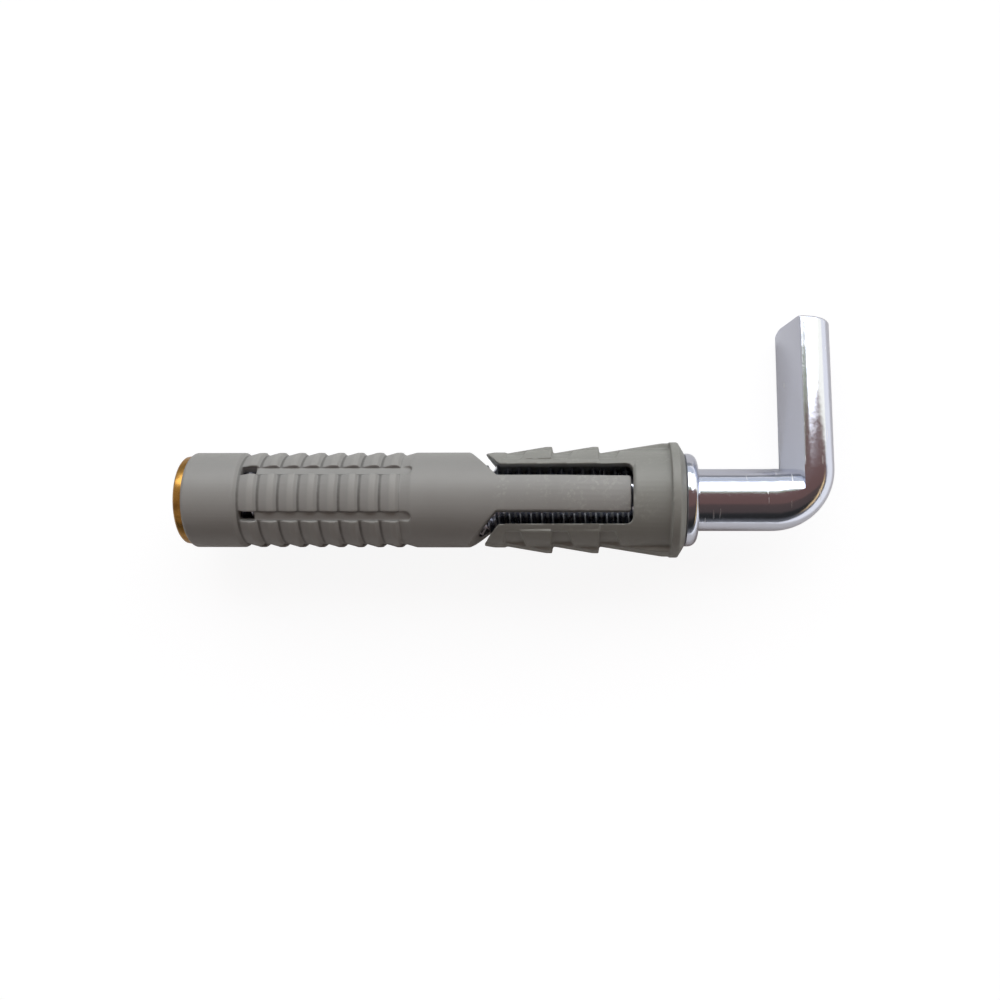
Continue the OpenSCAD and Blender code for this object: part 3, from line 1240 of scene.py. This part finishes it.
@dataclass
class Studio:
    """A pale floor, a tall soft window on the arm's side, and a dim warm room behind.

    Past the hook's end stand a bright wall and a small warm lamp. What a reflection meets is
    painted by its direction, as shares from -1 to 1 to the hook's side, towards the window and up.
    """

    floor_size: float = 1600.0
    paper_colour: str = "#eceded"
    # The darker grey that the floor turns, and where it turns towards the window
    far_floor_colour: str = "#a0a4a8"
    far_floor_across: tuple[float, float] = (38.0, 62.0)
    white_from: tuple[float, float] = (32.0, 42.0)
    shadow_tint: str = "#707174"
    backdrop_glow: float = 0.90
    window_colour: str = "#fafbfb"
    window_strength: float = 3.2
    wall_colour: str = "#d3d8e0"
    ceiling_colour: str = "#b3a8a2"
    beam_colour: str = "#a0a690"
    end_wall_colour: str = "#fffdee"
    end_wall_strength: float = 1.35
    end_wall_lean: float = 2.8
    lamp_colour: str = "#f0cf9c"
    lamp_strength: float = 1.2
    lamp_towards: tuple[float, float] = (-0.33, 0.18)
    lamp_size: tuple[float, float] = (0.52, 0.10)

    def build(self) -> None:
        """Builds the floor and the surroundings."""
        self._floor()
        self._surroundings()
        bpy.context.scene.view_settings.view_transform = "Standard"

    def _floor(self) -> None:
        """Lays the floor under the lowest point of the plug."""
        deselect_all()
        bpy.ops.mesh.primitive_plane_add(
            size=self.floor_size * MM, location=(0, 0, CAD_BOX[0].z)
        )
        floor = place_in_mesh(bpy.context.object)
        floor.name = "studio_floor"
        material, tree = new_material("pale_floor_darker_far_towards_window")
        place = add_node(tree, "TexCoord").outputs["Object"]
        along, across, _ = add_node(tree, "SeparateXYZ", None, [place]).outputs
        # Beyond 38 to 62 mm towards the window, the floor turns a darker grey
        far_floor = soft_mask(tree, (across, self.far_floor_across[0] * MM, self.far_floor_across[1] * MM))
        colour = add_node(
            tree,
            "Mix",
            {"data_type": "RGBA"},
            {0: far_floor, 6: linear(self.paper_colour), 7: linear(self.far_floor_colour)},
        )
        paper = add_node(tree, "BsdfDiffuse", None, {"Color": colour.outputs[2]})
        # The camera sees white paper with the plug's shadow left in it, and so does the plating
        # past the hook's end
        glossy = add_node(tree, "LightPath").outputs["Is Glossy Ray"]
        past_hook = soft_mask(tree, (along, self.white_from[0] * MM, self.white_from[1] * MM))
        mirrored = add_node(tree, "Math", {"operation": "MULTIPLY"}, (glossy, past_hook))
        seen_white = add_node(
            tree, "Math", {"operation": "MAXIMUM"}, (self._seen_directly(tree), mirrored)
        )
        shade = add_node(tree, "BsdfDiffuse", None, {"Color": linear(self.shadow_tint)})
        glow = add_node(tree, "Emission", None, {"Strength": self.backdrop_glow})
        white = add_node(tree, "AddShader", None, (glow, shade))
        surface = add_node(tree, "MixShader", None, (seen_white, paper, white))
        add_node(tree, "OutputMaterial", None, {"Surface": surface})
        floor.data.materials.append(material)

    def _seen_directly(self, tree: Tree) -> Node:
        """Adds a test for what the camera sees, straight or through something clear.

        Args:
            tree: The node tree of the floor or the world.

        Returns:
            The node with 1 for such a ray.
        """
        rays = add_node(tree, "LightPath").outputs
        sight = (rays["Is Camera Ray"], rays["Is Transmission Ray"])
        return add_node(tree, "Math", {"operation": "MAXIMUM"}, sight)

    def _surroundings(self) -> None:
        """Paints the studio round the plug: bright on the window's side, dim elsewhere."""
        world = bpy.data.worlds.new("studio")
        bpy.context.scene.world = world
        world.use_nodes = True
        tree = world.node_tree
        tree.nodes.clear()
        direction = add_node(tree, "TexCoord").outputs["Generated"]
        side, towards, up = add_node(tree, "SeparateXYZ", None, [direction]).outputs
        window, wall = self._window(tree, side, towards, up)
        ceiling = soft_mask(tree, (up, 0.25, 0.55), (side, -0.1, -0.4))
        # A dull olive beam overhead, along the edge where the window is held back
        beam = soft_mask(tree, (side, 0.36, 0.28), (towards, 0.42, 0.45))
        light = self._room(tree, towards, up)
        for mask, colour, strength in (
            (beam, self.beam_colour, 1.0),
            (ceiling, self.ceiling_colour, 1.0),
            (window, self.window_colour, self.window_strength),
            (wall, self.wall_colour, 1.0),
            (self._end_wall(tree, side, towards, up), self.end_wall_colour, self.end_wall_strength),
            (self._lamp(tree, side, towards, up), self.lamp_colour, self.lamp_strength),
            (self._seen_directly(tree), "#ffffff", 1.0),
        ):
            fill = add_node(tree, "Background", None, (linear(colour), strength))
            light = add_node(tree, "MixShader", None, (mask, light, fill))
        add_node(tree, "OutputWorld", None, {"Surface": light})

    def _window(self, tree: Tree, side: Socket, towards: Socket, up: Socket) -> tuple[Node, Node]:
        """Marks the window, and the pale wall below it.

        Args:
            tree: The world's node tree.
            side: The direction's share to the hook's side.
            towards: Its share towards the window.
            up: Its share upwards.

        Returns:
            The masks of the window and of the wall.
        """
        # The window ends at a slanting edge overhead, at the photographer and at its sill
        slanted = add_node(tree, "Math", {"operation": "MULTIPLY_ADD"}, (side, 0.06, towards))
        held_back = soft_mask(tree, (side, 0.32, 0.24, 0.13))
        slanted = add_node(tree, "Math", {"operation": "SUBTRACT"}, (slanted, held_back))
        lifted = soft_mask(tree, (side, 0.35, 0.75, 0.24))
        sill = add_node(tree, "Math", {"operation": "ADD"}, (up, lifted))
        window = soft_mask(tree, (slanted, 0.41, 0.46), (sill, 0.29, 0.36), (side, -0.9, -0.6))
        return window, soft_mask(tree, (sill, 0.36, 0.29), (towards, -0.1, 0.2))

    def _end_wall(self, tree: Tree, side: Socket, towards: Socket, up: Socket) -> Node:
        """Marks the bright wall past the hook's end, at which the dim room ends at a slant.

        Args:
            tree: The world's node tree.
            side: The direction's share to the hook's side.
            towards: Its share towards the window.
            up: Its share upwards.

        Returns:
            The wall's mask.
        """
        down = add_node(tree, "Math", {"operation": "MULTIPLY"}, (up, -1.0))
        lean = add_node(
            tree, "Math", {"operation": "MULTIPLY_ADD"}, (towards, self.end_wall_lean, down)
        )
        return soft_mask(tree, (lean, 0.50, 0.62), (side, 0.75, 0.87))

    def _lamp(self, tree: Tree, side: Socket, towards: Socket, up: Socket) -> Node:
        """Marks the warm lamp, which is long and low: a circle in shares of its own size.

        Args:
            tree: The world's node tree.
            side: The direction's share to the hook's side.
            towards: Its share towards the window.
            up: Its share upwards.

        Returns:
            The lamp's mask.
        """
        offsets = []
        for share, middle, size in zip((towards, up), self.lamp_towards, self.lamp_size):
            offset = add_node(tree, "Math", {"operation": "SUBTRACT"}, (share, middle))
            offsets.append(add_node(tree, "Math", {"operation": "DIVIDE"}, (offset, size)))
        return soft_mask(tree, (distance(tree, *offsets), 1.0, 0.3), (side, 0.2, 0.5))

    def _room(self, tree: Tree, towards: Socket, up: Socket) -> Node:
        """Paints the dim room in bands, from the far horizon over the top to the window.

        Args:
            tree: The world's node tree.
            towards: The direction's share towards the window.
            up: The direction's share upwards.

        Returns:
            The room's light.
        """
        lean = add_node(tree, "Math", {"operation": "ARCTAN2"}, (towards, up))
        half_turn = add_node(tree, "Math", {"operation": "MULTIPLY_ADD"}, (lean, 1 / math.pi, 0.5))
        room = add_node(tree, "ValToRGB", None, [half_turn])
        bands = [
            (0.00, "#77777a"),
            (0.06, "#5a5a5c"),
            (0.11, "#2b2b2b"),
            (0.20, "#303030"),
            (0.25, "#524846"),
            (0.40, "#5a4c49"),
            (0.43, "#725853"),
            (0.63, "#765a55"),
        ]
        ramp = room.color_ramp
        for element, (place, colour) in zip(ramp.elements, bands[:2]):
            element.position, element.color = place, linear(colour)
        for place, colour in bands[2:]:
            ramp.elements.new(place).color = linear(colour)
        return add_node(tree, "Background", None, [room])


def main() -> None:
    """Builds the studio and the plug, piece by piece."""
    logging.basicConfig(level=logging.INFO, format="%(name)s: %(message)s")
    PhotoCamera().build()
    Studio().build()
    MouldedSleeve(
        "lower_sleeve_moulded", "lower_sleeve", Body.LOWER, Slot.LOWER_NYLON, LOWER_NYLON
    ).build()
    MouldedSleeve(
        "upper_sleeve_moulded", "upper_sleeve", Body.UPPER, Slot.UPPER_NYLON, UPPER_NYLON
    ).build()
    hook = Hook()
    hook.build()
    ConeNut(hook).build()


if __name__ == "__main__":
    main()
